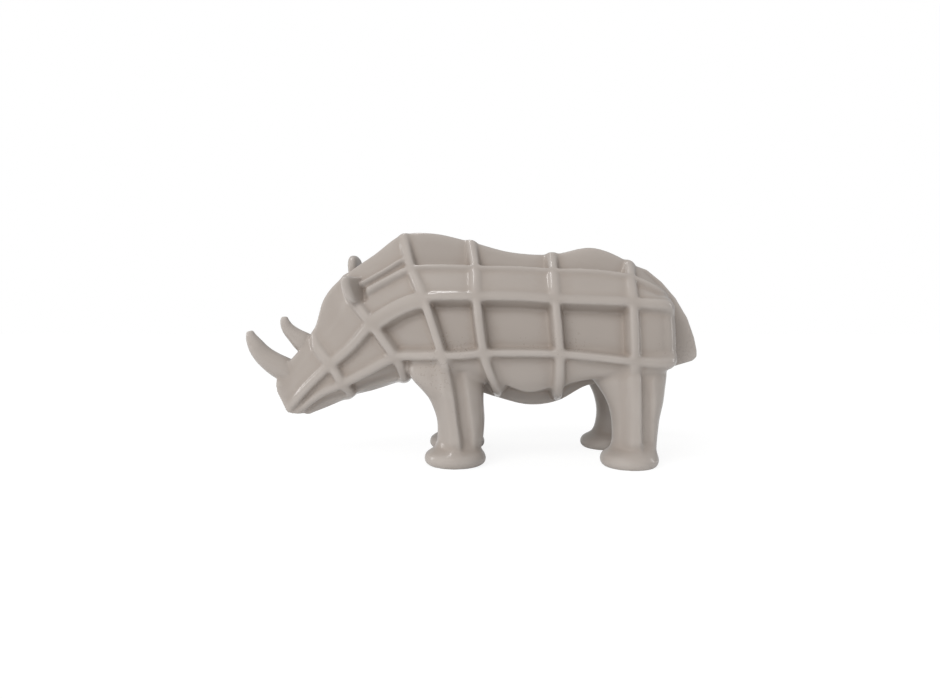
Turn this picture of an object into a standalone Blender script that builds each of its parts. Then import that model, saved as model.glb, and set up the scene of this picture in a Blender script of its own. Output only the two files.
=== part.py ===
"""Rhinoceros figurine, one glazed ceramic casting that stands on four disc feet.

The figure looks like crossing plates with the gaps between them filled in: raised ribs run
round and along the body, and the panels between the ribs are sunk. The animal looks along -X,
its left side faces -Y, +Z is up and the origin is on the ground under the middle of its length.

The free form keeps its proportions as hundredths of its own length. Ribs, walls, the tail fin
and the ears have thicknesses of their own.
"""

import math

import bmesh
import bpy
import numpy as np

# Driving dimensions, in metres
LENGTH = 0.400
# Flat top of each rib, and how far its side wall slopes out from there to the panel
RIB_TOP = 0.0055
RIB_WALL = 0.0038
# How far the middle of each rib stands above its edges
CROWN = 0.0008
FIN_THICKNESS = 0.0072
EAR_THICKNESS = 0.0076
# The rib down the outside of each leg, and the groove behind it
LEG_RIB_HEIGHT = 0.0042
LEG_GROOVE = 0.0024
# Half of the fold along the belly's lower edge
HEM_FOLD = 0.0020

# Hundredths of the length, the unit of every point and depth below
PART = LENGTH / 100.0

# The lines that run along the body, from the spine to the keel. Each has one point for each
# station, from the nose to the tail root: (distance along X, height, half width).
# Stations: nose, muzzle, MUZZLE RIB, cheek, EAR RIB, neck, SHOULDER RIB, withers, CHEST RIB,
# back, LOIN RIB, croup, HIP RIB, rump, tail root
SPINE = (
    (-43.0, 17.3, 1.2), (-40.2, 20.7, 1.8), (-34.9, 27.2, 2.0), (-32.3, 34.8, 1.9), (-28.0, 39.7, 1.8),
    (-21.5, 44.4, 1.6), (-15.1, 48.9, 1.4), (-8.0, 49.3, 1.3), (0.2, 47.5, 1.3), (8.8, 45.3, 1.3),
    (17.8, 44.8, 1.3), (26.9, 46.2, 1.3), (35.3, 42.9, 1.3), (42.0, 37.4, 1.3), (44.6, 34.2, 0.5),
)
LEDGE = (
    (-42.8, 14.6, 2.0), (-38.6, 18.4, 3.2), (-33.6, 24.2, 4.1), (-28.8, 29.6, 4.9), (-25.4, 34.4, 6.2),
    (-17.7, 39.0, 6.3), (-12.8, 41.2, 6.5), (-6.2, 41.6, 6.6), (0.9, 41.4, 6.6), (9.5, 41.3, 6.5),
    (17.6, 40.8, 6.5), (25.8, 40.6, 6.5), (34.4, 39.4, 6.3), (41.2, 36.2, 5.4), (44.5, 32.8, 0.5),
)
UPPER = (
    (-40.3, 9.9, 2.2), (-34.8, 15.9, 5.0), (-30.1, 20.4, 6.2), (-25.4, 24.5, 7.2), (-21.0, 29.1, 8.8),
    (-15.4, 32.8, 10.0), (-9.9, 34.7, 11.0), (-4.3, 35.1, 11.5), (1.1, 35.0, 11.8), (9.3, 35.0, 11.8),
    (17.5, 34.5, 11.8), (25.6, 34.2, 11.8), (33.7, 33.9, 11.2), (41.9, 33.3, 9.6), (44.2, 30.6, 0.5),
)
LOWER = (
    (-38.1, 9.4, 2.0), (-32.6, 13.6, 4.6), (-27.4, 16.1, 6.4), (-22.2, 18.7, 7.8), (-15.8, 22.0, 9.6),
    (-10.4, 22.5, 12.0), (-5.9, 22.8, 14.0), (-1.8, 22.9, 14.3), (2.6, 23.3, 14.3), (10.0, 23.4, 14.3),
    (18.1, 23.2, 14.3), (25.6, 22.5, 14.2), (33.5, 21.6, 13.8), (42.2, 21.3, 11.0), (43.8, 25.4, 0.5),
)
HEM = (
    (-36.6, 9.3, 1.5), (-31.5, 12.3, 3.2), (-25.8, 13.9, 4.4), (-21.0, 15.8, 4.8), (-14.2, 17.5, 6.6),
    (-9.5, 18.2, 9.6), (-5.0, 17.8, 11.4), (-0.5, 17.2, 11.4), (5.0, 15.9, 11.4), (11.8, 13.9, 11.4),
    (18.3, 15.2, 11.2), (24.3, 16.6, 11.6), (33.5, 16.9, 11.0), (41.2, 19.5, 9.4), (43.5, 23.0, 0.5),
)
KEEL = (
    (-35.9, 9.1, 0.9), (-32.2, 10.5, 1.2), (-26.8, 12.7, 1.4), (-21.3, 14.1, 1.4), (-14.3, 16.3, 1.6),
    (-10.5, 16.9, 1.8), (-5.0, 15.3, 2.0), (0.0, 15.0, 1.8), (5.8, 13.2, 1.5), (12.6, 11.6, 1.4),
    (19.0, 12.4, 1.4), (25.6, 15.8, 1.4), (33.0, 16.9, 1.6), (41.0, 18.8, 1.4), (43.2, 21.0, 0.5),
)
LINES = (SPINE, LEDGE, UPPER, LOWER, HEM, KEEL)
LEDGE_LINE, UPPER_LINE, LOWER_LINE, HEM_LINE, KEEL_LINE = range(1, len(LINES))
LAST_STATION = len(SPINE) - 1
RIB_STATIONS = np.arange(2, LAST_STATION, 2)

# How deep the panels lie under the ribs, one row for each band between two lines, and in each
# row one value for each gap between ribs, from the nose to the rump
PANEL_DEPTHS = np.array((
    (0.4, 0.5, 1.0, 2.0, 2.0, 2.0, 1.2),
    (0.45, 0.55, 0.9, 0.35, 0.35, 0.35, 1.0),
    (1.2, 1.7, 2.2, 2.8, 2.8, 2.8, 1.3),
    (0.8, 1.5, 1.2, 1.3, 1.4, 1.1, 0.6),
    (0.1, 0.5, 0.5, 1.6, 2.4, 1.8, 0.3),
))
# Ridges along the body: the line, and half the ridge's width in shares of a rib's top for each gap
# between ribs. The hem is a fold and has no ridge. The lip is a ridge on the neck, part of the way
# from the spine to the ledge.
NO_RIDGE = -4.0
LIP = 0.68
RIDGES = (
    (LIP, (NO_RIDGE, NO_RIDGE, 0.1, NO_RIDGE, NO_RIDGE, NO_RIDGE, NO_RIDGE)),
    (LEDGE_LINE, (NO_RIDGE, NO_RIDGE, 0.3, 0.25, 0.25, 0.25, 0.3)),
    (UPPER_LINE, (0.4, 0.5, 1.1, 0.5, 0.5, 0.5, 0.6)),
    (LOWER_LINE, (0.4, 0.5, 0.5, 0.4, 0.35, 0.4, 0.5)),
    (KEEL_LINE, (NO_RIDGE, NO_RIDGE, NO_RIDGE, 0.25, 0.25, 0.25, 0.25)),
)
# The top panels start at this share of their depth, and deepen over this stretch below the spine
SPINE_SHARE = 0.22
SPINE_START = 0.1
SPINE_REACH = 0.6
# How much shallower the panels in the first gaps, on the head, get from the upper line down
HEAD_TILT = 0.6
HEAD_GAPS = 2
# Keeps a division from a zero length
SMALLEST = 1e-9
# The most of a step between two lines or stations that a rib's wall takes
WALL_SHARE = 0.30
# The panels fade out over this many stations at the nose and before the tail root
END_FADE = 0.5
TAIL_EDGE = LAST_STATION - 0.7
# The hollow behind each ear: its station and line, how far it reaches in each, and its depth
EAR_PIT = (4.26, 0.95, 0.20, 0.34, 2.0)

# Each leg as rings from the ground up: (height, centre along X, half length, centre across, half width)
FRONT_LEG = (
    (0.0, -3.25, 5.3, 9.5, 5.3), (0.5, -3.25, 6.1, 9.5, 5.8), (1.4, -3.25, 6.4, 9.5, 6.1),
    (2.4, -3.25, 6.1, 9.5, 5.7), (3.2, -3.0, 5.3, 9.4, 4.7), (3.9, -2.6, 4.8, 9.3, 4.1),
    (5.6, -2.2, 4.8, 9.2, 3.9), (9.4, -2.1, 5.0, 9.2, 3.9), (13.2, -2.9, 5.6, 9.1, 4.0),
    (15.3, -3.7, 6.4, 9.0, 4.2), (17.8, -4.8, 7.6, 8.7, 4.2), (20.0, -4.8, 8.4, 8.3, 4.1),
    (22.4, -4.6, 8.0, 7.3, 3.5),
)
HIND_LEG = (
    (0.0, 32.9, 5.3, 10.4, 5.8), (0.5, 32.9, 5.8, 10.4, 6.1), (1.4, 32.9, 6.0, 10.4, 6.2),
    (2.4, 33.0, 5.7, 10.2, 5.7), (3.2, 33.5, 5.1, 9.9, 4.8), (3.9, 33.9, 4.8, 9.6, 4.1),
    (5.6, 34.2, 4.7, 9.4, 3.9), (9.4, 34.4, 5.0, 9.3, 3.9), (12.8, 34.4, 5.8, 9.2, 4.0),
    (15.9, 33.8, 6.9, 8.9, 4.2), (18.6, 33.0, 8.1, 8.6, 4.2), (21.4, 32.6, 8.8, 7.5, 3.7),
)
# How far forward the right hind foot stands, and the height where that leg is straight again
RIGHT_FOOT_FORWARD = 1.1
STRAIGHT_HEIGHT = 9.4
# Where the rib runs down the outside of each leg: (height, place along X)
FRONT_LEG_RIB = ((0.0, -2.6), (6.1, -3.1), (9.6, -3.6), (14.3, -4.2), (18.4, -4.9), (23.3, -5.9))
HIND_LEG_RIB = ((0.0, 33.8), (23.3, 33.8))
# The height where the rib starts above the disc foot. Its front wall is gentler than its back
# wall, which is as wide as the rib is high, and the groove lies behind it.
LEG_RIB_FOOT = 2.6
FRONT_WALL_SHARE = 2.2
GROOVE_BEHIND = 1.6
GROOVE_TOP = 0.5
# How fast the rib fades out from the outer face round to the front and back of the leg
OUTER_FADE = 2.0

# Each horn as rings from root to tip: (along X, height, radius), and its width in shares of that
FRONT_HORN = (
    (-38.6, 17.6, 2.9), (-42.7, 19.7, 2.6), (-45.1, 21.3, 2.3), (-46.7, 22.8, 2.05), (-47.8, 24.3, 1.8),
    (-48.75, 26.0, 1.3), (-49.22, 27.5, 0.75),
)
REAR_HORN = (
    (-34.2, 23.0, 2.7), (-37.3, 25.1, 2.3), (-39.2, 26.6, 1.75), (-40.6, 28.0, 1.4), (-41.3, 29.4, 1.1),
    (-41.5, 30.7, 0.7),
)
HORN_WIDTH_SHARE = 0.85

# The fin that the spine plate forms behind the rump, as its outline in the middle plane
FIN = (
    (30.0, 42.0), (35.3, 42.4), (38.9, 41.1), (42.2, 38.4), (45.3, 34.8), (47.9, 30.4), (49.4, 26.1),
    (50.0, 23.2), (50.0, 21.8), (49.0, 20.9), (44.2, 19.5), (36.0, 20.0), (30.0, 30.0),
)

# Each ear as a lobe on the plate behind the cheek: the side of the head, the place along X and
# across, half the width, foot, top, how square its outline is, how far it leans forward for each
# step up, and how far its outer edge turns back for each step out
EARS = (
    (1, -26.0, 5.0, 3.7, 34.0, 44.6, 0.8, 0.15, 0.15),
    (-1, -24.6, 5.2, 3.4, 33.4, 39.4, 0.45, 0.35, -0.5),
)

# The rings of the fin and of an ear, across the thickness: (share of the outline, share across)
FIN_RINGS = ((0.985, -0.5), (1.0, -0.3), (1.0, 0.3), (0.985, 0.5))
EAR_RINGS = ((0.88, -0.5), (1.0, -0.25), (1.0, 0.25), (0.88, 0.5))

# The grid of the body, coarse between ribs: (station or line, offset from it in metres). No
# offset is more than this share of the step to the next station or line.
RIB_FOOT = 0.5 * RIB_TOP + RIB_WALL
RIDGE_EDGE = 0.25 * RIB_TOP
RIB_EDGES = (-RIB_FOOT, -0.5 * RIB_TOP, 0.5 * RIB_TOP, RIB_FOOT)
COLUMNS = sorted(
    [(float(station), offset) for station in RIB_STATIONS for offset in RIB_EDGES]
    + [(station, 0.0) for station in (0.0, 0.35, 1.0, 3.0, 5.0, 6.6, 7.0, 9.0, 11.0, 13.0, 13.5, 14.0)])
ROWS = sorted(
    [(line, offset) for line in (UPPER_LINE, LOWER_LINE) for offset in RIB_EDGES]
    + [(LEDGE_LINE, -RIB_WALL), (LEDGE_LINE, -RIDGE_EDGE), (LEDGE_LINE, RIDGE_EDGE)]
    + [(HEM_LINE, -HEM_FOLD), (HEM_LINE, HEM_FOLD)]
    + [(KEEL_LINE, -RIB_WALL - RIDGE_EDGE), (KEEL_LINE, -RIDGE_EDGE)]
    + [(line, 0.0) for line in (0.0, SPINE_START, 0.5, 1.5, 2.5, 3.5, 4.5, 5.0)])
MOST_OFFSET = 0.42
RING_SIDES = 28
HORN_SIDES = 12
EAR_SIDES = 16
SHARP_ANGLE = math.radians(35.0)
GLAZE = (0.38, 0.335, 0.30, 1.0)
ROUGHNESS = 0.25


def spline_weights(t):
    """Catmull-Rom weights of four points in a row, for a place t of the way from the second to the third."""
    return 0.5 * np.stack(
        (-t + 2 * t**2 - t**3, 2 - 5 * t**2 + 3 * t**3, t + 4 * t**2 - 3 * t**3, t**3 - t**2), axis=-1)


def spline_slopes(t):
    """How fast each of those weights changes with t."""
    return 0.5 * np.stack(
        (-1 + 4 * t - 3 * t**2, 9 * t**2 - 10 * t, 1 + 8 * t - 9 * t**2, 3 * t**2 - 2 * t), axis=-1)


def powered(values, power):
    """Each value raised to a power, with its sign kept, which turns a circle into a rounded square."""
    return np.sign(values) * np.abs(values) ** power


def extended(points, axis):
    """The points with one more at each end of an axis, straight on from the last two."""
    rows = np.moveaxis(points, axis, 0)
    rows = np.concatenate((2 * rows[:1] - rows[1:2], rows, 2 * rows[-1:] - rows[-2:-1]))
    return np.moveaxis(rows, 0, axis)


CAGE = extended(extended(np.array(LINES) * PART, 0), 1)


def cage_place(u, v, along=None):
    """Points (X, height, half width) on the smooth surface through the lines, or its slope along u or v."""
    u, v = np.broadcast_arrays(np.asarray(u, float), np.asarray(v, float))
    station = np.clip(np.floor(u), 0, LAST_STATION - 1).astype(int)
    line = np.clip(np.floor(v), 0, KEEL_LINE - 1).astype(int)
    weights_u = (spline_slopes if along == "u" else spline_weights)(u - station)
    weights_v = (spline_slopes if along == "v" else spline_weights)(v - line)
    near = CAGE[line[..., None, None] + np.arange(4)[:, None], station[..., None, None] + np.arange(4)]
    return np.einsum("...a,...b,...abc->...c", weights_v, weights_u, near)


def travel(u, v, along):
    """How far the surface goes, in metres, for each unit of u or of v."""
    return np.linalg.norm(cage_place(u, v, along), axis=-1)


def eased(way):
    """A smooth step from 0 to 1 as the way goes from 0 to 1."""
    way = np.clip(way, 0.0, 1.0)
    return way * way * (3.0 - 2.0 * way)


def raised(distance, half_top, wall=RIB_WALL):
    """1 on top of a rib, 0 past the foot of its wall, and a smooth slope between."""
    return 1.0 - eased((np.abs(distance) - half_top) / wall)


def raised_across(steps, step_length, half_top):
    """The same across a line or station, for a place some steps of this length away from it.

    Where lines or stations stand close together, the wall takes a share of the step.
    """
    return raised(steps * step_length, half_top, np.minimum(RIB_WALL, WALL_SHARE * step_length))


def nearest_rib(u, v):
    """How far each place is from its nearest rib, in stations, and the length of a station there."""
    nearest = RIB_STATIONS[np.abs(u[..., None] - RIB_STATIONS).argmin(axis=-1)]
    return u - nearest, travel(nearest, v, "u")


def crowned(steps, step_length, half_top):
    """1 at the middle of a rib or ridge, 0 from half way down its wall, and 0 where there is none."""
    half_width = half_top + 0.5 * RIB_WALL
    return np.where(half_width > 0.0, raised(steps * step_length, 0.0, np.maximum(half_width, SMALLEST)), 0.0)


def ear_pit(u, v):
    """The depth of the hollow behind the ear."""
    station, line, along, down, deepest = EAR_PIT
    reach = ((u - station) / along) ** 2 + ((v - line) / down) ** 2
    return deepest * PART * np.clip(1.0 - reach, 0.0, 1.0) ** 2


def panel_depth(u, v):
    """How deep the panel lies between two lines and two ribs, before the ridges on the lines."""
    band = np.clip(np.floor(v), 0, KEEL_LINE - 1).astype(int)
    gap = np.searchsorted(RIB_STATIONS, u)
    depth = PANEL_DEPTHS[band, gap] * PART
    top = SPINE_SHARE + (1.0 - SPINE_SHARE) * np.clip((v - SPINE_START) / SPINE_REACH, 0.0, 1.0)
    depth = np.where(band == 0, depth * top, depth)
    past_hem = eased(0.5 + 0.5 * (v - HEM_LINE) * travel(u, HEM_LINE, "v") / HEM_FOLD)
    above, below = PANEL_DEPTHS[HEM_LINE - 1, gap] * PART, PANEL_DEPTHS[HEM_LINE, gap] * PART
    depth = np.where(v > HEM_LINE - 0.5, above + (below - above) * past_hem, depth)
    tilt = 1.0 - HEAD_TILT * np.clip(v - UPPER_LINE, 0.0, 1.0)
    return np.where((band == UPPER_LINE) & (gap < HEAD_GAPS), depth * tilt, depth)


def body_surface(u, v):
    """The panelled side of the body, as points (X, height, half width).

    It is the smooth surface through the lines, moved inward along its normal by the depth of
    the panel there, except on the ribs and ridges, which are crowned.
    """
    slope_u, slope_v = cage_place(u, v, "u"), cage_place(u, v, "v")
    inward = np.cross(slope_u, slope_v)
    inward /= np.maximum(np.linalg.norm(inward, axis=-1, keepdims=True), SMALLEST)
    from_rib, station_length = nearest_rib(u, v)
    on_rib = raised_across(from_rib, station_length, 0.5 * RIB_TOP)
    crown = crowned(from_rib, station_length, 0.5 * RIB_TOP)
    depth = panel_depth(u, v)
    gap = np.searchsorted(RIB_STATIONS, u)
    for line, shares in RIDGES:
        half_top = np.array(shares)[gap] * RIB_TOP
        line_length = travel(u, line, "v")
        depth = depth * (1.0 - raised_across(v - line, line_length, half_top))
        crown = np.maximum(crown, crowned(v - line, line_length, half_top))
    depth = depth * np.clip(u / END_FADE, 0.0, 1.0) * np.clip((TAIL_EDGE - u) / END_FADE, 0.0, 1.0)
    moved = depth * (1.0 - on_rib) + ear_pit(u, v) - CROWN * crown
    return cage_place(u, v) + inward * moved[..., None]


def leg_offset(x, rib_x, rises, outward):
    """How far the outer face of a leg stands out: a rib with a gentle front wall, then a groove."""
    wall = np.where(x < rib_x, FRONT_WALL_SHARE, 1.0) * LEG_RIB_HEIGHT
    rib = LEG_RIB_HEIGHT * raised(x - rib_x, 0.5 * RIB_TOP, wall)
    groove = LEG_GROOVE * raised(x - rib_x - GROOVE_BEHIND * RIB_TOP, GROOVE_TOP * RIB_TOP, LEG_RIB_HEIGHT)
    return rises * outward * (rib - groove)


def leg_rings(rings, rib_line, side, forward, angle):
    """The rings of one leg from the ground up, as points, with the rib down its outer face."""
    height, middle, half_length, across, half_width = (np.array(rings) * PART).T
    rib_heights, rib_places = (np.array(rib_line) * PART).T
    shift = -forward * PART * (1.0 - eased(height / (STRAIGHT_HEIGHT * PART)))
    x = (middle + shift)[:, None] + half_length[:, None] * np.cos(angle)
    y = across[:, None] + half_width[:, None] * np.sin(angle)
    z = np.broadcast_to(height[:, None], x.shape)
    rib_x = (np.interp(height, rib_heights, rib_places) + shift)[:, None]
    rises = np.clip((height - LEG_RIB_FOOT * PART) / (LEG_RIB_FOOT * PART), 0.0, 1.0)[:, None]
    outward = np.clip(np.sin(angle) * OUTER_FADE, 0.0, 1.0)
    y = y + leg_offset(x, rib_x, rises, outward)
    return np.stack((x, side * y, z), axis=-1)


def new_object(name, points, faces):
    """A closed mesh object, shaded smooth but for its sharp edges."""
    mesh = bpy.data.meshes.new(name)
    mesh.from_pydata([tuple(p) for p in points], [], faces)
    mesh.shade_smooth()
    mesh.set_sharp_from_angle(angle=SHARP_ANGLE)
    obj = bpy.data.objects.new(name, mesh)
    bpy.context.scene.collection.objects.link(obj)
    return obj


def tube(name, rings):
    """Rings of points joined one to the next, with both ends closed by a face."""
    rings = np.asarray(rings)
    count, sides = rings.shape[:2]
    index = np.arange(count * sides).reshape(count, sides)
    after = np.roll(index, -1, axis=1)
    quads = np.stack((index[:-1], after[:-1], after[1:], index[1:]), axis=-1).reshape(-1, 4)
    faces = [tuple(int(i) for i in q) for q in quads]
    faces.append(tuple(int(i) for i in index[0, ::-1]))
    faces.append(tuple(int(i) for i in index[-1]))
    return new_object(name, rings.reshape(-1, 3), faces)


def make_body():
    """Head, neck and trunk as one skin, with the same panels on the left and the right."""
    station, column_offset = (part[:, None] for part in np.array(COLUMNS).T)
    line, row_offset = np.array(ROWS).T
    v = line + np.clip(row_offset / travel(station, line, "v"), -MOST_OFFSET, MOST_OFFSET)
    u = station + np.clip(column_offset / travel(station, v, "u"), -MOST_OFFSET, MOST_OFFSET)
    side = body_surface(u, v)
    left = np.stack((side[..., 0], -side[..., 2], side[..., 1]), axis=-1)
    right = np.stack((side[..., 0], side[..., 2], side[..., 1]), axis=-1)
    return tube("rhinoceros", np.concatenate((left, right[:, ::-1]), axis=1))


def make_leg(name, rings, rib_line, side, forward):
    """One leg and its disc foot."""
    angle = np.linspace(0.0, 2.0 * math.pi, RING_SIDES, endpoint=False)
    return tube(name, leg_rings(rings, rib_line, side, forward, angle))


def make_horn(name, rings):
    """A curved horn with rings square to its middle line."""
    x, z, radius = (np.array(rings) * PART).T
    along = np.stack((np.gradient(x), np.gradient(z)), axis=-1)
    along /= np.linalg.norm(along, axis=-1, keepdims=True)
    angle = np.linspace(0.0, 2.0 * math.pi, HORN_SIDES, endpoint=False)
    reach = radius[:, None] * np.cos(angle)
    points = np.stack((
        x[:, None] - along[:, 1:] * reach,
        HORN_WIDTH_SHARE * radius[:, None] * np.sin(angle),
        z[:, None] + along[:, :1] * reach,
    ), axis=-1)
    return tube(name, points)


def make_plate(name, outline, thickness):
    """A flat plate in the middle plane with its outline eased on both faces."""
    outline = np.array(outline) * PART
    middle = outline.mean(axis=0)
    rings = []
    for share, y in FIN_RINGS:
        ring = middle + (outline - middle) * share
        rings.append(np.column_stack((ring[:, 0], np.full(len(ring), y * thickness), ring[:, 1])))
    return tube(name, rings)


def make_ear(name, side, x, across, half_width, foot, top, squareness, lean, turn):
    """An ear as a thin lobe, its flat sides facing along X."""
    angle = np.linspace(0.0, 2.0 * math.pi, EAR_SIDES, endpoint=False)
    half_height = 0.5 * (top - foot)
    rings = []
    for share, reach in EAR_RINGS:
        y = side * (across + share * half_width * powered(np.cos(angle), squareness)) * PART
        z = (foot + half_height * (1.0 + share * powered(np.sin(angle), squareness))) * PART
        middle = x * PART - lean * (z - (foot + half_height) * PART) + turn * (side * y - across * PART)
        rings.append(np.column_stack((middle + reach * EAR_THICKNESS, y, z)))
    return tube(name, rings)


def face_outward(obj):
    """Turns a closed mesh the right way out."""
    work = bmesh.new()
    work.from_mesh(obj.data)
    bmesh.ops.recalc_face_normals(work, faces=work.faces)
    if work.calc_volume(signed=True) < 0.0:
        bmesh.ops.reverse_faces(work, faces=work.faces)
    work.to_mesh(obj.data)
    work.free()


def join_to(body, piece):
    """Adds a Boolean union with a piece that stays in the file as a guide."""
    face_outward(piece)
    piece.hide_render = True
    piece.display_type = "WIRE"
    union = body.modifiers.new(piece.name, "BOOLEAN")
    union.operation = "UNION"
    union.solver = "EXACT"
    union.object = piece


def main():
    for obj in list(bpy.data.objects):
        bpy.data.objects.remove(obj, do_unlink=True)
    body = make_body()
    face_outward(body)
    glaze = bpy.data.materials.new("greige_glaze")
    glaze.use_nodes = True
    shader = glaze.node_tree.nodes["Principled BSDF"]
    shader.inputs["Base Color"].default_value = GLAZE
    shader.inputs["Roughness"].default_value = ROUGHNESS
    body.data.materials.append(glaze)
    for label, side in (("left", -1), ("right", 1)):
        forward = RIGHT_FOOT_FORWARD if side > 0 else 0.0
        join_to(body, make_leg(f"front_leg_{label}", FRONT_LEG, FRONT_LEG_RIB, side, 0.0))
        join_to(body, make_leg(f"hind_leg_{label}", HIND_LEG, HIND_LEG_RIB, side, forward))
    join_to(body, make_horn("front_horn", FRONT_HORN))
    join_to(body, make_horn("rear_horn", REAR_HORN))
    join_to(body, make_plate("tail_fin", FIN, FIN_THICKNESS))
    for side, *size in EARS:
        join_to(body, make_ear("ear_left" if side < 0 else "ear_right", side, *size))


main()
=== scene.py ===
"""The rhinoceros figurine's looks: one glazed ceramic casting, fused from its forms and softened.

The form is the solid's own, worked out again on a finer grid: ribs round and along a smooth
body, with sunken panels between them. It is fused, rounded the way glaze rounds a casting,
and given a greige glaze with painted shade, warmer and darker in its hollows, and painted
highlights, lighter on its convex edges.
"""

import math

import bpy
import mathutils
import numpy as np
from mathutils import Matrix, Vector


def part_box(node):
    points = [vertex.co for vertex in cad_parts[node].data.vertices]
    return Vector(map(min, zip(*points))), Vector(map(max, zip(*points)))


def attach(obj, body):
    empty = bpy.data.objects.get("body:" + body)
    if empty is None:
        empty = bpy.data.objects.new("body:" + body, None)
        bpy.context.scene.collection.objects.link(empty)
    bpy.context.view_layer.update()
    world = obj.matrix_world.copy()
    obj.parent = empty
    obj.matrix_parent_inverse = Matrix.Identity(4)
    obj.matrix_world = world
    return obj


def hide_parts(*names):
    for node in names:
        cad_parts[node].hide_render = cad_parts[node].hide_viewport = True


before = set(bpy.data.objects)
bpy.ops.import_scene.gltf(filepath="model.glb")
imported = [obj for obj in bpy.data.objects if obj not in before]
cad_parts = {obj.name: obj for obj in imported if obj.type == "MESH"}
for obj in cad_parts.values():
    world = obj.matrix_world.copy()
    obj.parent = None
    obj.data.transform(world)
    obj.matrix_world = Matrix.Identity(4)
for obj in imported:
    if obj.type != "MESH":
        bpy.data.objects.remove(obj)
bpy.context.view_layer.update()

# The solid's box in metres, and a hundredth of its length. The tables below are in such parts,
# and the names that say so are in metres.
LOW, HIGH = (np.array(corner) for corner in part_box("rhinoceros"))
PART = float(HIGH[0] - LOW[0]) / 100.0

# The casting's own thicknesses, in metres
RIB_TOP = 0.0055
RIB_WALL = 0.0038
# How far the middle of each rib stands above its edges
CROWN = 0.0008
FIN_THICKNESS = 0.0072
EAR_THICKNESS = 0.0076
# The rib down the outside of each leg, and the groove behind it
LEG_RIB_HEIGHT = 0.0042
LEG_GROOVE = 0.0024
# Half of the fold along the belly's lower edge
HEM_FOLD = 0.0020

# The lines that run along the body, from the spine to the keel. Each has one point for each
# station, from the nose to the tail root: (distance along X, height, half width).
# Stations: nose, muzzle, MUZZLE RIB, cheek, EAR RIB, neck, SHOULDER RIB, withers, CHEST RIB,
# back, LOIN RIB, croup, HIP RIB, rump, tail root
SPINE = (
    (-43.0, 17.3, 1.2), (-40.2, 20.7, 1.8), (-34.9, 27.2, 2.0), (-32.3, 34.8, 1.9), (-28.0, 39.7, 1.8),
    (-21.5, 44.4, 1.6), (-15.1, 48.9, 1.4), (-8.0, 49.3, 1.3), (0.2, 47.5, 1.3), (8.8, 45.3, 1.3),
    (17.8, 44.8, 1.3), (26.9, 46.2, 1.3), (35.3, 42.9, 1.3), (42.0, 37.4, 1.3), (44.6, 34.2, 0.5),
)
LEDGE = (
    (-42.8, 14.6, 2.0), (-38.6, 18.4, 3.2), (-33.6, 24.2, 4.1), (-28.8, 29.6, 4.9), (-25.4, 34.4, 6.2),
    (-17.7, 39.0, 6.3), (-12.8, 41.2, 6.5), (-6.2, 41.6, 6.6), (0.9, 41.4, 6.6), (9.5, 41.3, 6.5),
    (17.6, 40.8, 6.5), (25.8, 40.6, 6.5), (34.4, 39.4, 6.3), (41.2, 36.2, 5.4), (44.5, 32.8, 0.5),
)
UPPER = (
    (-40.3, 9.9, 2.2), (-34.8, 15.9, 5.0), (-30.1, 20.4, 6.2), (-25.4, 24.5, 7.2), (-21.0, 29.1, 8.8),
    (-15.4, 32.8, 10.0), (-9.9, 34.7, 11.0), (-4.3, 35.1, 11.5), (1.1, 35.0, 11.8), (9.3, 35.0, 11.8),
    (17.5, 34.5, 11.8), (25.6, 34.2, 11.8), (33.7, 33.9, 11.2), (41.9, 33.3, 9.6), (44.2, 30.6, 0.5),
)
LOWER = (
    (-38.1, 9.4, 2.0), (-32.6, 13.6, 4.6), (-27.4, 16.1, 6.4), (-22.2, 18.7, 7.8), (-15.8, 22.0, 9.6),
    (-10.4, 22.5, 12.0), (-5.9, 22.8, 14.0), (-1.8, 22.9, 14.3), (2.6, 23.3, 14.3), (10.0, 23.4, 14.3),
    (18.1, 23.2, 14.3), (25.6, 22.5, 14.2), (33.5, 21.6, 13.8), (42.2, 21.3, 11.0), (43.8, 25.4, 0.5),
)
HEM = (
    (-36.6, 9.3, 1.5), (-31.5, 12.3, 3.2), (-25.8, 13.9, 4.4), (-21.0, 15.8, 4.8), (-14.2, 17.5, 6.6),
    (-9.5, 18.2, 9.6), (-5.0, 17.8, 11.4), (-0.5, 17.2, 11.4), (5.0, 15.9, 11.4), (11.8, 13.9, 11.4),
    (18.3, 15.2, 11.2), (24.3, 16.6, 11.6), (33.5, 16.9, 11.0), (41.2, 19.5, 9.4), (43.5, 23.0, 0.5),
)
KEEL = (
    (-35.9, 9.1, 0.9), (-32.2, 10.5, 1.2), (-26.8, 12.7, 1.4), (-21.3, 14.1, 1.4), (-14.3, 16.3, 1.6),
    (-10.5, 16.9, 1.8), (-5.0, 15.3, 2.0), (0.0, 15.0, 1.8), (5.8, 13.2, 1.5), (12.6, 11.6, 1.4),
    (19.0, 12.4, 1.4), (25.6, 15.8, 1.4), (33.0, 16.9, 1.6), (41.0, 18.8, 1.4), (43.2, 21.0, 0.5),
)
LINES = (SPINE, LEDGE, UPPER, LOWER, HEM, KEEL)
LEDGE_LINE, UPPER_LINE, LOWER_LINE, HEM_LINE, KEEL_LINE = range(1, len(LINES))
LAST_STATION = len(SPINE) - 1
RIB_STATIONS = np.arange(2, LAST_STATION, 2)

# How deep the panels lie under the ribs, one row for each band between two lines, and in each
# row one value for each gap between ribs, from the nose to the rump
PANEL_DEPTHS = np.array((
    (0.4, 0.5, 1.0, 2.0, 2.0, 2.0, 1.2),
    (0.45, 0.55, 0.9, 0.35, 0.35, 0.35, 1.0),
    (1.2, 1.7, 2.2, 2.8, 2.8, 2.8, 1.3),
    (0.8, 1.5, 1.2, 1.3, 1.4, 1.1, 0.6),
    (0.1, 0.5, 0.5, 1.6, 2.4, 1.8, 0.3),
))
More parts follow.
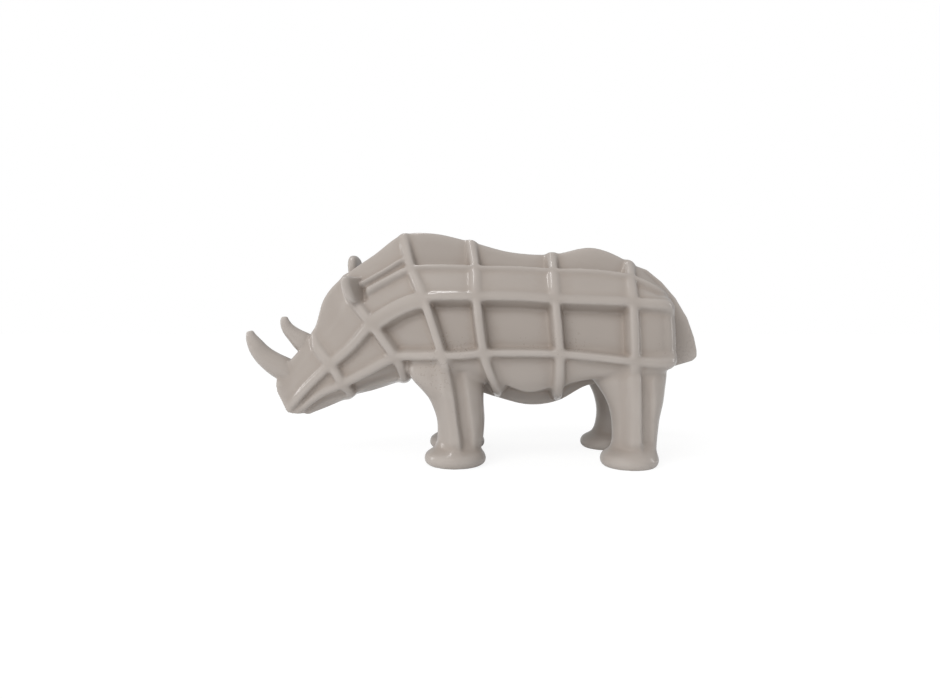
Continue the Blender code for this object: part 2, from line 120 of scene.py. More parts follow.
# Ridges along the body: the line, and half the ridge's width in shares of a rib's top for each gap
# between ribs. The hem is a fold and has no ridge. The lip is a ridge on the neck, part of the way
# from the spine to the ledge.
NO_RIDGE = -4.0
LIP = 0.68
RIDGES = (
    (LIP, (NO_RIDGE, NO_RIDGE, 0.1, NO_RIDGE, NO_RIDGE, NO_RIDGE, NO_RIDGE)),
    (LEDGE_LINE, (NO_RIDGE, NO_RIDGE, 0.3, 0.25, 0.25, 0.25, 0.3)),
    (UPPER_LINE, (0.4, 0.5, 1.1, 0.5, 0.5, 0.5, 0.6)),
    (LOWER_LINE, (0.4, 0.5, 0.5, 0.4, 0.35, 0.4, 0.5)),
    (KEEL_LINE, (NO_RIDGE, NO_RIDGE, NO_RIDGE, 0.25, 0.25, 0.25, 0.25)),
)
# The top panels start at this share of their depth, and deepen over this stretch below the spine
SPINE_SHARE = 0.22
SPINE_START = 0.1
SPINE_REACH = 0.6
# How much shallower the panels in the first gaps, on the head, get from the upper line down
HEAD_TILT = 0.6
HEAD_GAPS = 2
# Keeps a division from a zero length
SMALLEST = 1e-9
# The most of a step between two lines or stations that a rib's wall takes
WALL_SHARE = 0.30
# The panels fade out over this many stations at the nose and before the tail root
END_FADE = 0.5
TAIL_EDGE = LAST_STATION - 0.7
# The hollow behind each ear: its station and line, how far it reaches in each, and its depth
EAR_PIT = (4.26, 0.95, 0.20, 0.34, 2.0)

# Each leg as rings from the ground up: (height, centre along X, half length, centre across, half width)
FRONT_LEG = (
    (0.0, -3.25, 5.3, 9.5, 5.3), (0.5, -3.25, 6.1, 9.5, 5.8), (1.4, -3.25, 6.4, 9.5, 6.1),
    (2.4, -3.25, 6.1, 9.5, 5.7), (3.2, -3.0, 5.3, 9.4, 4.7), (3.9, -2.6, 4.8, 9.3, 4.1),
    (5.6, -2.2, 4.8, 9.2, 3.9), (9.4, -2.1, 5.0, 9.2, 3.9), (13.2, -2.9, 5.6, 9.1, 4.0),
    (15.3, -3.7, 6.4, 9.0, 4.2), (17.8, -4.8, 7.6, 8.7, 4.2), (20.0, -4.8, 8.4, 8.3, 4.1),
    (22.4, -4.6, 8.0, 7.3, 3.5),
)
HIND_LEG = (
    (0.0, 32.9, 5.3, 10.4, 5.8), (0.5, 32.9, 5.8, 10.4, 6.1), (1.4, 32.9, 6.0, 10.4, 6.2),
    (2.4, 33.0, 5.7, 10.2, 5.7), (3.2, 33.5, 5.1, 9.9, 4.8), (3.9, 33.9, 4.8, 9.6, 4.1),
    (5.6, 34.2, 4.7, 9.4, 3.9), (9.4, 34.4, 5.0, 9.3, 3.9), (12.8, 34.4, 5.8, 9.2, 4.0),
    (15.9, 33.8, 6.9, 8.9, 4.2), (18.6, 33.0, 8.1, 8.6, 4.2), (21.4, 32.6, 8.8, 7.5, 3.7),
)
# How far forward the right hind foot stands, and the height where that leg is straight again
RIGHT_FOOT_FORWARD = 1.1
STRAIGHT_HEIGHT = 9.4
# Where the rib runs down the outside of each leg: (height, place along X)
FRONT_LEG_RIB = ((0.0, -2.6), (6.1, -3.1), (9.6, -3.6), (14.3, -4.2), (18.4, -4.9), (23.3, -5.9))
HIND_LEG_RIB = ((0.0, 33.8), (23.3, 33.8))
# The height where the rib starts above the disc foot. Its front wall is gentler than its back
# wall, which is as wide as the rib is high, and the groove lies behind it.
LEG_RIB_FOOT = 2.6
FRONT_WALL_SHARE = 2.2
GROOVE_BEHIND = 1.6
GROOVE_TOP = 0.5
# How fast the rib fades out from the outer face round to the front and back of the leg
OUTER_FADE = 2.0

# Each horn as rings from root to tip: (along X, height, radius), and its width in shares of that
FRONT_HORN = (
    (-38.6, 17.6, 2.9), (-42.7, 19.7, 2.6), (-45.1, 21.3, 2.3), (-46.7, 22.8, 2.05), (-47.8, 24.3, 1.8),
    (-48.75, 26.0, 1.3), (-49.22, 27.5, 0.75),
)
REAR_HORN = (
    (-34.2, 23.0, 2.7), (-37.3, 25.1, 2.3), (-39.2, 26.6, 1.75), (-40.6, 28.0, 1.4), (-41.3, 29.4, 1.1),
    (-41.5, 30.7, 0.7),
)
HORN_WIDTH_SHARE = 0.85

# The fin that the spine plate forms behind the rump, as its outline in the middle plane
FIN = (
    (30.0, 42.0), (35.3, 42.4), (38.9, 41.1), (42.2, 38.4), (45.3, 34.8), (47.9, 30.4), (49.4, 26.1),
    (50.0, 23.2), (50.0, 21.8), (49.0, 20.9), (44.2, 19.5), (36.0, 20.0), (30.0, 30.0),
)

# Each ear as a lobe on the plate behind the cheek: the side of the head, the place along X and
# across, half the width, foot, top, how square its outline is, how far it leans forward for each
# step up, and how far its outer edge turns back for each step out
EARS = (
    (1, -26.0, 5.0, 3.7, 34.0, 44.6, 0.8, 0.15, 0.15),
    (-1, -24.6, 5.2, 3.4, 33.4, 39.4, 0.45, 0.35, -0.5),
)

# The rings of the fin and of an ear, across the thickness: (share of the outline, share across)
FIN_RINGS = ((0.985, -0.5), (1.0, -0.3), (1.0, 0.3), (0.985, 0.5))
EAR_RINGS = ((0.88, -0.5), (1.0, -0.25), (1.0, 0.25), (0.88, 0.5))

# How small the first and last ring of a plate and of an ear are, in shares of its outline
PLATE_CENTRE = 0.01
EAR_CENTRE = 0.1

# How finely the skins are worked out before they are fused
ROUND_STEPS = 64
STEPS_ALONG = 420
STEPS_DOWN = 200
LEG_STEPS = 90
HORN_STEPS = 48
# The edge of the small cubes that fuse the skins, in metres, and the most triangles kept
VOXEL = 0.0010
MOST_TRIANGLES = 190000
# Each pass of the rounding moves points this share of the way to the mean of their neighbours,
# and then this share of the way back
SOFTENING_PASSES = 9
WAY_THERE = 0.5
WAY_BACK = 0.42
# Pits are smoothed where a point's step to that mean differs from its neighbours' steps by more
# than this many voxels
PIT_PASSES = 12
PIT_START = 0.05
PIT_SHARE = 0.6
# Creases are filled where a point lies deeper than this many voxels between its neighbours, and
# the tops of the legs are rounded off the same way in more passes and from a smaller depth
CREASE_PASSES = 6
CREASE_START = 0.06
LEG_TOP_PASSES = 110
FILLET_START = 0.008
# Where the legs leave the body: along X, height and reach. The filling fades out over the outer
# half of the reach.
LEG_TOPS = ((-8.0, 19.0, 6.0), (3.5, 18.0, 5.0), (27.0, 18.5, 7.0), (40.0, 19.0, 5.0))
LEG_TOP_FADE = 2.0
# How widely the surface is averaged to see where it is hollow, how often that is evened out, and
# the depth that counts as fully hollow, in metres
CAVITY_PASSES = 17
HOLLOW_PASSES = 4
HOLLOW_DEPTH = 0.0013
# How often the points slide along the surface after the thinning
SETTLE_PASSES = 6

# The camera, from the photograph: the picture's width and the places of the horizon and of the
# point where lines square to the picture meet, in its pixels
PICTURE_WIDTH, PICTURE_HEIGHT = 940, 699
FOCAL_PIXELS = 720.0
HORIZON_ROW = 309.0
MEETING_COLUMN = 474.0
CAMERA_DISTANCE = 160.0 * PART
CAMERA_HEIGHT = 32.4 * PART
CAMERA_ALONG = 0.67 * PART
SENSOR_WIDTH = 36.0
NEAREST_SEEN = 0.01


def spline_weights(t):
    """Catmull-Rom weights of four points in a row, a share t of the way from the second to the third."""
    return 0.5 * np.stack(
        (-t + 2 * t**2 - t**3, 2 - 5 * t**2 + 3 * t**3, t + 4 * t**2 - 3 * t**3, t**3 - t**2), axis=-1)


def spline_slopes(t):
    """How fast each of those weights changes with t."""
    return 0.5 * np.stack(
        (-1 + 4 * t - 3 * t**2, 9 * t**2 - 10 * t, 1 + 8 * t - 9 * t**2, 3 * t**2 - 2 * t), axis=-1)


def powered(values, power):
    """Each value raised to a power, with its sign kept, which turns a circle into a rounded square."""
    return np.sign(values) * np.abs(values) ** power


def extended(points, axis):
    """The points with one more at each end of an axis, straight on from the last two."""
    rows = np.moveaxis(points, axis, 0)
    rows = np.concatenate((2 * rows[:1] - rows[1:2], rows, 2 * rows[-1:] - rows[-2:-1]))
    return np.moveaxis(rows, 0, axis)


CAGE = extended(extended(np.array(LINES) * PART, 0), 1)


def cage_place(u, v, along=None):
    """Points (X, height, half width) on the smooth surface through the lines, or its slope.

    u counts stations from the nose and v counts lines from the spine. The slope is along either.
    """
    u, v = np.broadcast_arrays(np.asarray(u, float), np.asarray(v, float))
    station = np.clip(np.floor(u), 0, LAST_STATION - 1).astype(int)
    line = np.clip(np.floor(v), 0, KEEL_LINE - 1).astype(int)
    weights_u = (spline_slopes if along == "u" else spline_weights)(u - station)
    weights_v = (spline_slopes if along == "v" else spline_weights)(v - line)
    lines = line[..., None, None] + np.arange(4)[:, None]
    stations = station[..., None, None] + np.arange(4)
    return np.einsum("...a,...b,...abc->...c", weights_v, weights_u, CAGE[lines, stations])


def travel(u, v, along):
    """How far the surface goes, in metres, for each unit of u or of v."""
    return np.linalg.norm(cage_place(u, v, along), axis=-1)


def eased(way):
    """A smooth step from 0 to 1 as the way goes from 0 to 1."""
    way = np.clip(way, 0.0, 1.0)
    return way * way * (3.0 - 2.0 * way)


def raised(distance, half_top, wall=RIB_WALL):
    """1 on top of a rib, 0 past the foot of its wall, and a smooth slope between."""
    return 1.0 - eased((np.abs(distance) - half_top) / wall)


def raised_across(steps, step_length, half_top):
    """The same across a line or station, for a place some steps of this length away from it.

    Where lines or stations stand close together, the wall takes a share of the step.
    """
    return raised(steps * step_length, half_top, np.minimum(RIB_WALL, WALL_SHARE * step_length))


def nearest_rib(u, v):
    """How far each place is from its nearest rib, in stations, and the length of a station there."""
    nearest = RIB_STATIONS[np.abs(u[..., None] - RIB_STATIONS).argmin(axis=-1)]
    return u - nearest, travel(nearest, v, "u")


def crowned(steps, step_length, half_top):
    """1 at the middle of a rib or ridge, 0 from half way down its wall, and 0 where there is none."""
    half_width = half_top + 0.5 * RIB_WALL
    crown = raised(steps * step_length, 0.0, np.maximum(half_width, SMALLEST))
    return np.where(half_width > 0.0, crown, 0.0)


def ear_pit(u, v):
    """The depth of the hollow behind the ear."""
    station, line, along, down, deepest = EAR_PIT
    reach = ((u - station) / along) ** 2 + ((v - line) / down) ** 2
    return deepest * PART * np.clip(1.0 - reach, 0.0, 1.0) ** 2


def panel_depth(u, v):
    """How deep the panel lies between two lines and two ribs, before the ridges on the lines."""
    band = np.clip(np.floor(v), 0, KEEL_LINE - 1).astype(int)
    gap = np.searchsorted(RIB_STATIONS, u)
    depth = PANEL_DEPTHS[band, gap] * PART
    top = SPINE_SHARE + (1.0 - SPINE_SHARE) * np.clip((v - SPINE_START) / SPINE_REACH, 0.0, 1.0)
    depth = np.where(band == 0, depth * top, depth)
    past_hem = eased(0.5 + 0.5 * (v - HEM_LINE) * travel(u, HEM_LINE, "v") / HEM_FOLD)
    above, below = PANEL_DEPTHS[HEM_LINE - 1, gap] * PART, PANEL_DEPTHS[HEM_LINE, gap] * PART
    depth = np.where(v > HEM_LINE - 0.5, above + (below - above) * past_hem, depth)
    tilt = 1.0 - HEAD_TILT * np.clip(v - UPPER_LINE, 0.0, 1.0)
    return np.where((band == UPPER_LINE) & (gap < HEAD_GAPS), depth * tilt, depth)


def body_surface(u, v):
    """The panelled side of the body, as points (X, height, half width).

    It is the smooth surface through the lines, moved inward along its normal by the depth of
    the panel there, except on the ribs and ridges, which are crowned.
    """
    slope_u, slope_v = cage_place(u, v, "u"), cage_place(u, v, "v")
    inward = np.cross(slope_u, slope_v)
    inward /= np.maximum(np.linalg.norm(inward, axis=-1, keepdims=True), SMALLEST)
    from_rib, station_length = nearest_rib(u, v)
    on_rib = raised_across(from_rib, station_length, 0.5 * RIB_TOP)
    crown = crowned(from_rib, station_length, 0.5 * RIB_TOP)
    depth = panel_depth(u, v)
    gap = np.searchsorted(RIB_STATIONS, u)
    for line, shares in RIDGES:
        half_top = np.array(shares)[gap] * RIB_TOP
        line_length = travel(u, line, "v")
        depth = depth * (1.0 - raised_across(v - line, line_length, half_top))
        crown = np.maximum(crown, crowned(v - line, line_length, half_top))
    depth = depth * np.clip(u / END_FADE, 0.0, 1.0) * np.clip((TAIL_EDGE - u) / END_FADE, 0.0, 1.0)
    moved = depth * (1.0 - on_rib) + ear_pit(u, v) - CROWN * crown
    return cage_place(u, v) + inward * moved[..., None]


def leg_offset(x, rib_x, rises, outward):
    """How far the outer face of a leg stands out: a rib with a gentle front wall, then a groove."""
    wall = np.where(x < rib_x, FRONT_WALL_SHARE, 1.0) * LEG_RIB_HEIGHT
    rib = LEG_RIB_HEIGHT * raised(x - rib_x, 0.5 * RIB_TOP, wall)
    groove = LEG_GROOVE * raised(x - rib_x - GROOVE_BEHIND * RIB_TOP, GROOVE_TOP * RIB_TOP, LEG_RIB_HEIGHT)
    return rises * outward * (rib - groove)


def leg_rings(rings, rib_line, side, forward, angle):
    """The rings of one leg from the ground up, as points, with the rib down its outer face."""
    height, middle, half_length, across, half_width = (np.array(rings) * PART).T
    rib_heights, rib_places = (np.array(rib_line) * PART).T
    shift = -forward * PART * (1.0 - eased(height / (STRAIGHT_HEIGHT * PART)))
    x = (middle + shift)[:, None] + half_length[:, None] * np.cos(angle)
    y = across[:, None] + half_width[:, None] * np.sin(angle)
    z = np.broadcast_to(height[:, None], x.shape)
    rib_x = (np.interp(height, rib_heights, rib_places) + shift)[:, None]
    rises = np.clip((height - LEG_RIB_FOOT * PART) / (LEG_RIB_FOOT * PART), 0.0, 1.0)[:, None]
    outward = np.clip(np.sin(angle) * OUTER_FADE, 0.0, 1.0)
    y = y + leg_offset(x, rib_x, rises, outward)
    return np.stack((x, side * y, z), axis=-1)


def tube(rings):
    """Points and quads of rings joined one to the next, each end closed by a fan round its middle."""
    rings = np.asarray(rings, float)
    count, sides = rings.shape[:2]
    index = np.arange(count * sides).reshape(count, sides)
    after = np.roll(index, -1, axis=1)
    quads = np.stack((index[:-1], after[:-1], after[1:], index[1:]), axis=-1).reshape(-1, 4)
    middles = np.stack((rings[0].mean(axis=0), rings[-1].mean(axis=0)))
    first, last = count * sides, count * sides + 1
    start = np.column_stack((np.full(sides, first), after[0], index[0]))
    end = np.column_stack((np.full(sides, last), index[-1], after[-1]))
    points = np.concatenate((rings.reshape(-1, 3), middles))
    return points, [quads.tolist(), start.tolist(), end.tolist()]


def body_skin():
    """Head, neck and trunk: the body surface on an even grid, mirrored to the other side."""
    u = np.linspace(0.0, LAST_STATION, STEPS_ALONG)[:, None]
    v = np.linspace(0.0, KEEL_LINE, STEPS_DOWN)[None, :]
    u, v = (np.array(part) for part in np.broadcast_arrays(u, v))
    side = body_surface(u, v)
    left = np.stack((side[..., 0], -side[..., 2], side[..., 1]), axis=-1)
    right = np.stack((side[..., 0], side[..., 2], side[..., 1]), axis=-1)
    return tube(np.concatenate((left, right[:, ::-1]), axis=1))


def smooth_rings(rings, steps):
    """Rows of numbers carried along a Catmull-Rom curve, evenly from the first row to the last."""
    rows = extended(np.array(rings, float), 0)
    place = np.linspace(0.0, len(rings) - 1.0, steps)
    start = np.clip(np.floor(place), 0, len(rings) - 2).astype(int)
    weights = spline_weights(place - start)
    return np.einsum("sa,sac->sc", weights, rows[start[:, None] + np.arange(4)])


def leg_skin(rings, rib_line, side, forward):
    """A leg as ellipses from the ground up, pushed out along its rib on the outer face."""
    angle = np.linspace(0.0, 2.0 * math.pi, ROUND_STEPS * 2, endpoint=False)
    fine = smooth_rings(rings, LEG_STEPS)
    fine[:, 0] = np.maximum(fine[:, 0], 0.0)
    return tube(leg_rings(fine, rib_line, side, forward, angle))


def horn_skin(rings):
    """A horn as ovals square to its curved middle line."""
    x, z, radius = (smooth_rings(rings, HORN_STEPS) * PART).T
    along = np.stack((np.gradient(x), np.gradient(z)), axis=-1)
    along /= np.linalg.norm(along, axis=-1, keepdims=True)
    angle = np.linspace(0.0, 2.0 * math.pi, ROUND_STEPS, endpoint=False)
    reach = radius[:, None] * np.cos(angle)
    return tube(np.stack((
        x[:, None] - along[:, 1:] * reach,
        HORN_WIDTH_SHARE * radius[:, None] * np.sin(angle),
        z[:, None] + along[:, :1] * reach,
    ), axis=-1))


def plate_skin(outline, thickness):
    """A plate in the middle plane: its outline on both faces, drawn in a little at each face."""
    outline = np.array(outline) * PART
    middle = outline.mean(axis=0)
    rings = []
    for share, y in ((PLATE_CENTRE, -0.5), *FIN_RINGS, (PLATE_CENTRE, 0.5)):
        ring = middle + (outline - middle) * share
        rings.append(np.column_stack((ring[:, 0], np.full(len(ring), y * thickness), ring[:, 1])))
    return tube(rings)


def ear_skin(side, x, across, half_width, foot, top, squareness, lean, turn):
    """An ear as a thin lobe: a rounded square across the head, thinner towards its rim."""
    angle = np.linspace(0.0, 2.0 * math.pi, ROUND_STEPS, endpoint=False)
    half_height = 0.5 * (top - foot)
    rings = []
    for share, reach in ((EAR_CENTRE, -0.5), *EAR_RINGS, (EAR_CENTRE, 0.5)):
        y = side * (across + share * half_width * powered(np.cos(angle), squareness)) * PART
        z = (foot + half_height * (1.0 + share * powered(np.sin(angle), squareness))) * PART
        forward = lean * (z - (foot + half_height) * PART)
        middle = x * PART - forward + turn * (side * y - across * PART)
        rings.append(np.column_stack((middle + reach * EAR_THICKNESS, y, z)))
    return tube(rings)


def all_skins():
    """Every closed form of the figure, still overlapping its neighbours."""
    skins = [body_skin(), horn_skin(FRONT_HORN), horn_skin(REAR_HORN)]
    skins.append(plate_skin(FIN, FIN_THICKNESS))
    for side, hind_forward in ((-1, 0.0), (1, RIGHT_FOOT_FORWARD)):
        skins.append(leg_skin(FRONT_LEG, FRONT_LEG_RIB, side, 0.0))
        skins.append(leg_skin(HIND_LEG, HIND_LEG_RIB, side, hind_forward))
    skins.extend(ear_skin(*ear) for ear in EARS)
    return skins


def in_scene(name, data):
    """A new object at the origin of the scene that holds a mesh, light or camera."""
    thing = bpy.data.objects.new(name, data)
    bpy.context.scene.collection.objects.link(thing)
    return thing


def mesh_object(name, points, faces):
    """A mesh object at the origin, in the scene."""
    mesh = bpy.data.meshes.new(name)
    mesh.from_pydata(points.tolist(), [], faces)
    return in_scene(name, mesh)


def outward(points, faces):
    """The groups of faces as one list, turned round when they close a negative volume."""
    volume = 0.0
    for group in faces:
        corners = points[np.array(group)]
        for third in range(2, corners.shape[1]):
            triple = np.cross(corners[:, third - 1], corners[:, third])
            volume += float((corners[:, 0] * triple).sum())
    if volume < 0.0:
        faces = [[face[::-1] for face in group] for group in faces]
    return [face for group in faces for face in group]


def fused(name, skins, voxel):
    """One closed mesh over all the skins, rebuilt from small cubes."""
    points, faces, count = [], [], 0
    for skin, groups in skins:
        turned = outward(skin, groups)
        faces.extend([[corner + count for corner in face] for face in turned])
        points.append(skin)
        count += len(skin)
    raw = mesh_object(name + "_raw", np.concatenate(points), faces)
    remesh = raw.modifiers.new("fuse", "REMESH")
    remesh.mode = "VOXEL"
    remesh.voxel_size = voxel
    return finished(raw, name)


def finished(raw, name):
    """A new object that holds the mesh as its modifiers leave it, in place of the raw one."""
    evaluated = raw.evaluated_get(bpy.context.evaluated_depsgraph_get())
    mesh = bpy.data.meshes.new_from_object(evaluated)
    bpy.data.objects.remove(raw, do_unlink=True)
    mesh.name = name
    return in_scene(name, mesh)


def thinned(piece, name, most):
    """The mesh with its flattest parts simplified until no more than so many triangles are left."""
    triangles = sum(len(face.vertices) - 2 for face in piece.data.polygons)
    thin = piece.modifiers.new("thin", "DECIMATE")
    thin.ratio = min(1.0, most / triangles)
    return finished(piece, name)


class Neighbours:
    """The edges of a mesh, kept to average values over each point's neighbours."""

    def __init__(self, mesh):
        ends = np.empty(len(mesh.edges) * 2, np.int32)
        mesh.edges.foreach_get("vertices", ends)
        ends = ends.reshape(-1, 2)
        self.start = np.concatenate((ends[:, 0], ends[:, 1]))
        self.end = np.concatenate((ends[:, 1], ends[:, 0]))
        self.count = np.bincount(self.start, minlength=len(mesh.vertices))

    def mean(self, values):
        """The average of the neighbours' values, for each point."""
        columns = [np.bincount(self.start, weights=column[self.end], minlength=len(self.count))
                   for column in values.T]
        return np.stack(columns, axis=-1) / self.count[:, None]


def vectors(items, what):
    """What each of the items holds under a name, as rows of three numbers."""
    values = np.empty(len(items) * 3, np.float32)
    items.foreach_get(what, values)
    return values.reshape(-1, 3).astype(float)


def move_points(mesh, points):
    """Puts the mesh's points at new places."""
    mesh.vertices.foreach_set("co", points.astype(np.float32).ravel())
    mesh.update()


def on_ground(points):
    """The points, with those below the ground lifted onto it, so that soles stay flat."""
    return np.column_stack((points[:, :2], np.maximum(points[:, 2], 0.0)))


def near_leg_tops(points):
    """1 near the places where the legs leave the body, and 0 away from them."""
    near = np.zeros(len(points))
    for x, height, reach in LEG_TOPS:
        away = np.hypot(points[:, 0] - x * PART, points[:, 2] - height * PART) / (reach * PART)
        near = np.maximum(near, eased(LEG_TOP_FADE * (1.0 - away)))
    return near[:, None]


def smooth_pits(points, neighbours, passes):
    """Moves only points whose bend is unlike their neighbours' towards the neighbours' mean."""
    for _ in range(passes):
        step = neighbours.mean(points) - points
        odd = np.linalg.norm(step - neighbours.mean(step), axis=1, keepdims=True) / VOXEL
        odd = np.clip((odd - PIT_START) / PIT_START, 0.0, 1.0)
        points += PIT_SHARE * neighbours.mean(neighbours.mean(odd)) * step


def fill_creases(mesh, points, neighbours, passes, start, where):
    """Moves only points that lie deep between their neighbours outward, as glaze fills a crease."""
    move_points(mesh, points)
    normals = vectors(mesh.vertex_normals, "vector")
    for _ in range(passes):
        step = neighbours.mean(points) - points
        deep = (step * normals).sum(axis=1, keepdims=True) / VOXEL
        deep = np.clip((deep - start) / start, 0.0, 1.0)
        points += WAY_THERE * neighbours.mean(deep) * step * where


def soften(mesh):
    """Rounds the casting as glaze does.

    Each pass moves every point half way to the mean of its neighbours and then a little less
    than that way back, which rounds edges and keeps the volume.
    """
    points = vectors(mesh.vertices, "co")
    neighbours = Neighbours(mesh)
    for _ in range(SOFTENING_PASSES):
        points += WAY_THERE * (neighbours.mean(points) - points)
        points -= WAY_BACK * (neighbours.mean(points) - points)
    smooth_pits(points, neighbours, PIT_PASSES)
    fill_creases(mesh, points, neighbours, CREASE_PASSES, CREASE_START, 1.0)
    fill_creases(mesh, points, neighbours, LEG_TOP_PASSES, FILLET_START, near_leg_tops(points))
    points = on_ground(points)
    move_points(mesh, points)
    mark_hollows(mesh, points, neighbours)


def mark_hollows(mesh, points, neighbours):
    """Notes on each point how far it lies under the averaged surface, 1 where fully hollow: the glaze
    paints shade by it in hollows and highlights on convex edges.
    """
    smooth = points
    for _ in range(CAVITY_PASSES):
        smooth = neighbours.mean(smooth)
    normals = vectors(mesh.vertex_normals, "vector")
    hollow = ((smooth - points) * normals).sum(axis=1, keepdims=True)
    for _ in range(HOLLOW_PASSES):
        hollow = neighbours.mean(hollow)
    mark = mesh.attributes.new("hollow", "FLOAT", "POINT")
    mark.data.foreach_set("value", (hollow[:, 0] / HOLLOW_DEPTH).astype(np.float32))


def settle(mesh):
    """Evens out the triangles that the thinning left.

    Each pass slides every point along the surface half way to the middle of its neighbours.
    """
    points = vectors(mesh.vertices, "co")
    neighbours = Neighbours(mesh)
    normals = vectors(mesh.vertex_normals, "vector")
    for _ in range(SETTLE_PASSES):
        step = neighbours.mean(points) - points
        step -= (step * normals).sum(axis=1, keepdims=True) * normals
        points += WAY_THERE * step
    move_points(mesh, on_ground(points))


class Value:
    """A shader socket that can be added to, multiplied and fed to other nodes.

    One without a socket only starts new nodes.
    """

    def __init__(self, tree, socket):
        self.tree = tree
        self.socket = socket

    def node(self, kind, settings=(), inputs=(), output=0):
        """Any node: its settings first, then values or links for its sockets by name or number."""
        made = self.tree.nodes.new(kind)
        for name, value in dict(settings).items():
            setattr(made, name, value)
        for name, value in dict(inputs).items():
            if isinstance(value, Value):
                self.tree.links.new(value.socket, made.inputs[name])
            else:
                made.inputs[name].default_value = value
        return Value(self.tree, made.outputs[output])

    def maths(self, operation, first, second):
        """One step of arithmetic on two values or numbers."""
        return self.node("ShaderNodeMath", {"operation": operation}, {0: first, 1: second})

    def __add__(self, other):
        return self.maths("ADD", self, other)

    def __mul__(self, other):
        return self.maths("MULTIPLY", self, other)

    def __sub__(self, other):
        return self.maths("SUBTRACT", self, other)

    def __rsub__(self, other):
        return self.maths("SUBTRACT", other, self)

    __radd__ = __add__
    __rmul__ = __mul__

    def clamped(self):
        """The value kept between 0 and 1."""
        return self.node("ShaderNodeClamp", {}, {0: self})

    def between(self, first, second):
        """A colour mixed from two: the first at 0, the second at 1."""
        return self.node("ShaderNodeMix", {"data_type": "RGBA"}, {0: self, 6: first, 7: second}, 2)


# The glaze's own colour; a warmer, darker one that paints shade into the hollows; and a lighter one that
# paints highlights on convex edges. Random clouds mix in both.
GLAZE = (0.352, 0.310, 0.278, 1.0)
SHADE_AND_CLOUD_GLAZE = (0.285, 0.230, 0.190, 1.0)
HIGHLIGHT_AND_CLOUD_GLAZE = (0.440, 0.400, 0.368, 1.0)
# Soft clouds, fine specks and the glaze's ripple, as noise, and what such noise averages
CLOUD = {"Scale": 14.0, "Detail": 3.0}
SPECK = {"Scale": 420.0, "Detail": 1.0}
RIPPLE = {"Scale": 60.0, "Detail": 2.0}
NOISE_MEAN = 0.5
# How strongly hollows and clouds turn the glaze to its darker colour, painted shade in the hollows, and to
# its lighter one, painted highlights on convex edges
SHADE_AND_CLOUD_BY = (0.9, 0.35)
HIGHLIGHT_AND_CLOUD_BY = (-1.1, 0.3)
# The least roughness, and what clouds and specks add to it
ROUGHNESS = 0.22
CLOUD_ROUGHNESS = 0.10
SPECK_ROUGHNESS = 0.05
RIPPLE_BUMP = {"Strength": 0.12, "Distance": 0.0004}
GLOSS = {"IOR": 1.5, "Coat Weight": 0.5, "Coat Roughness": 0.08}


def glaze_material():
    """Greige glaze with painted shade, warmer and darker in the hollows, and painted highlights, lighter
    over convex edges, both varied by random clouds.
    """
    material = bpy.data.materials.new("greige_glaze")
    material.use_nodes = True
    tree = material.node_tree
    shader = tree.nodes["Principled BSDF"]
    start = Value(tree, None)
    place = start.node("ShaderNodeTexCoord", output="Object")
    hollow = start.node("ShaderNodeAttribute", {"attribute_name": "hollow"}, output="Fac")
    cloud, speck, ripple = (
        start.node("ShaderNodeTexNoise", {}, {"Vector": place, **noise})
        for noise in (CLOUD, SPECK, RIPPLE))
    # Masks for painted shade in the hollows and painted highlights on convex edges, each with random
    # clouds
    shade_and_cloud, thin = (
        (hollow * by_hollow + (cloud - NOISE_MEAN) * by_cloud).clamped()
        for by_hollow, by_cloud in (SHADE_AND_CLOUD_BY, HIGHLIGHT_AND_CLOUD_BY))
    # The painted highlights on convex edges lie over the painted shade in the hollows
    colour = thin.between(shade_and_cloud.between(GLAZE, SHADE_AND_CLOUD_GLAZE), HIGHLIGHT_AND_CLOUD_GLAZE)
    tree.links.new(colour.socket, shader.inputs["Base Color"])
    rough = (cloud * CLOUD_ROUGHNESS + speck * SPECK_ROUGHNESS + ROUGHNESS).clamped()
    tree.links.new(rough.socket, shader.inputs["Roughness"])
    bump = start.node("ShaderNodeBump", {}, {**RIPPLE_BUMP, "Height": ripple})
    tree.links.new(bump.socket, shader.inputs["Normal"])
    for name, value in GLOSS.items():
        shader.inputs[name].default_value = value
    return material


def make_figurine():
    """The one casting, in place of the solid: fused, rounded, thinned and glazed."""
    piece = fused("fused_skins", all_skins(), VOXEL)
    soften(piece.data)
    piece = thinned(piece, "rhinoceros_casting", MOST_TRIANGLES)
    piece.data.shade_smooth()
    settle(piece.data)
    piece.data.materials.clear()
    piece.data.materials.append(glaze_material())
    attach(piece, "root")
    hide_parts("rhinoceros")


FLOOR_SIZE = 6.0
FLOOR_COLOUR = (0.90, 0.90, 0.90, 1.0)
FLOOR_ROUGHNESS = 0.9
# How much of the floor, as the camera sees it, is plain glow, and how bright that is
FLOOR_GLOW = 0.82
GLOW_STRENGTH = 1.08


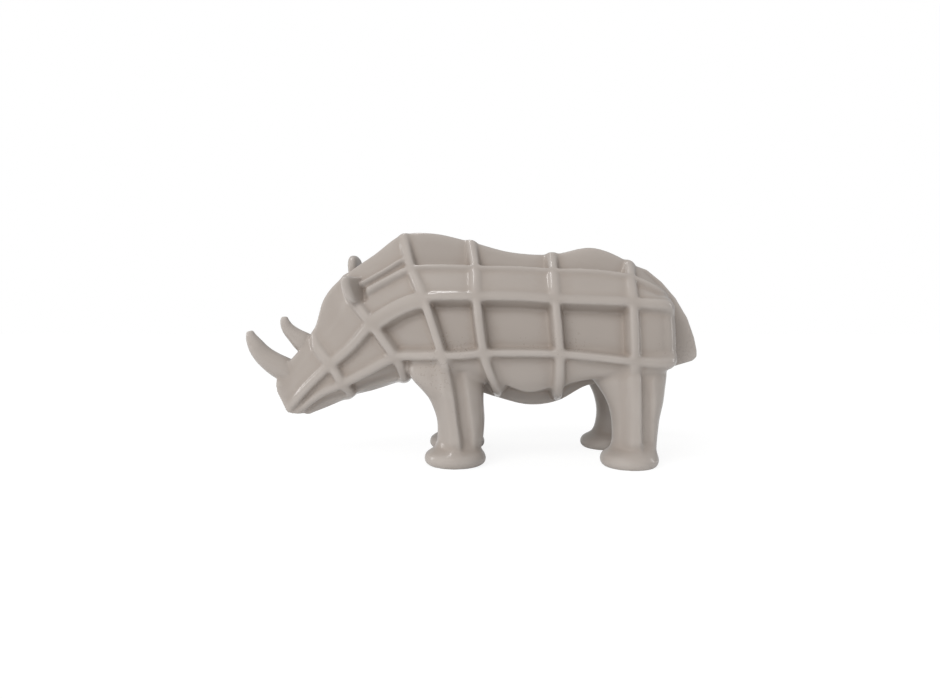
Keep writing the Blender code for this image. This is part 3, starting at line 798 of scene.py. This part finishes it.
def make_floor():
    """A plain pale floor, on which only a faint part of each shadow shows."""
    half = 0.5 * FLOOR_SIZE
    corners = [(x * half, y * half, 0.0) for x, y in ((-1, -1), (1, -1), (1, 1), (-1, 1))]
    floor = mesh_object("floor", np.array(corners), [[0, 1, 2, 3]])
    material = bpy.data.materials.new("pale_floor")
    material.use_nodes = True
    tree = material.node_tree
    shader = tree.nodes["Principled BSDF"]
    shader.inputs["Base Color"].default_value = FLOOR_COLOUR
    shader.inputs["Roughness"].default_value = FLOOR_ROUGHNESS
    start = Value(tree, None)
    glow = start.node("ShaderNodeEmission", {}, {"Strength": GLOW_STRENGTH})
    seen = start.node("ShaderNodeLightPath", output="Is Camera Ray")
    mixed = start.node("ShaderNodeMixShader", {}, {0: seen * FLOOR_GLOW, 2: glow})
    tree.links.new(shader.outputs[0], mixed.socket.node.inputs[1])
    tree.links.new(mixed.socket, tree.nodes["Material Output"].inputs["Surface"])
    floor.data.materials.append(material)


# How bright the white room is as a light. The camera sees it fully white.
ROOM_LIGHT = 0.435
KEY_PLACE = (-1.1, -1.6, 1.5)
KEY_STRENGTH = 2.12
KEY_SPREAD = math.radians(45.0)
# Strips of light that draw thin highlights on the ribs: place, width, height, power
STRIPS = (
    ((-0.3, 0.15, 1.5), 0.9, 0.12, 2.5),
    ((-1.6, 0.1, 0.5), 0.14, 0.8, 2.0),
    ((1.6, 0.1, 0.5), 0.14, 0.8, 1.5),
)


def add_strip(number, place, width, height, power):
    """A long soft light that faces the figure."""
    light = bpy.data.lights.new(f"strip_{number}", "AREA")
    light.shape = "RECTANGLE"
    light.size = width
    light.size_y = height
    light.energy = power
    lamp = in_scene(light.name, light)
    lamp.location = place
    aim(lamp, (0.0, 0.0, 0.5 * HIGH[2]))


def aim(thing, target):
    """Turns a light or camera, which look along their own -Z, towards a point."""
    way = mathutils.Vector(target) - thing.location
    thing.rotation_euler = way.to_track_quat("-Z", "Y").to_euler()


def light_scene():
    """A white room, dimmer than it looks, and a broad soft lamp high in front, towards the nose."""
    world = bpy.data.worlds.new("studio")
    bpy.context.scene.world = world
    world.use_nodes = True
    tree = world.node_tree
    background = tree.nodes["Background"]
    background.inputs["Color"].default_value = (1.0, 1.0, 1.0, 1.0)
    seen = Value(tree, None).node("ShaderNodeLightPath", output="Is Camera Ray")
    strength = seen * (1.0 - ROOM_LIGHT) + ROOM_LIGHT
    tree.links.new(strength.socket, background.inputs["Strength"])
    lamp = bpy.data.lights.new("key", "SUN")
    lamp.energy = KEY_STRENGTH
    lamp.angle = KEY_SPREAD
    key = in_scene("key", lamp)
    key.location = KEY_PLACE
    key.visible_glossy = False
    aim(key, (0.0, 0.0, 0.0))
    for number, strip in enumerate(STRIPS):
        add_strip(number, *strip)


def place_camera():
    """The photograph's camera: level, low and square to the side, with its lens shifted."""
    camera = bpy.data.cameras.new("camera")
    camera.sensor_width = SENSOR_WIDTH
    camera.sensor_fit = "HORIZONTAL"
    camera.lens = SENSOR_WIDTH * FOCAL_PIXELS / PICTURE_WIDTH
    camera.clip_start = NEAREST_SEEN
    viewer = in_scene("camera", camera)
    viewer.location = (CAMERA_ALONG, -CAMERA_DISTANCE, CAMERA_HEIGHT)
    camera.shift_x = (0.5 * PICTURE_WIDTH - MEETING_COLUMN) / PICTURE_WIDTH
    camera.shift_y = (HORIZON_ROW - 0.5 * PICTURE_HEIGHT) / PICTURE_WIDTH
    viewer.rotation_euler = (0.5 * math.pi, 0.0, 0.0)
    bpy.context.scene.camera = viewer


make_figurine()
make_floor()
light_scene()
place_camera()
bpy.context.scene.view_settings.view_transform = "Standard"
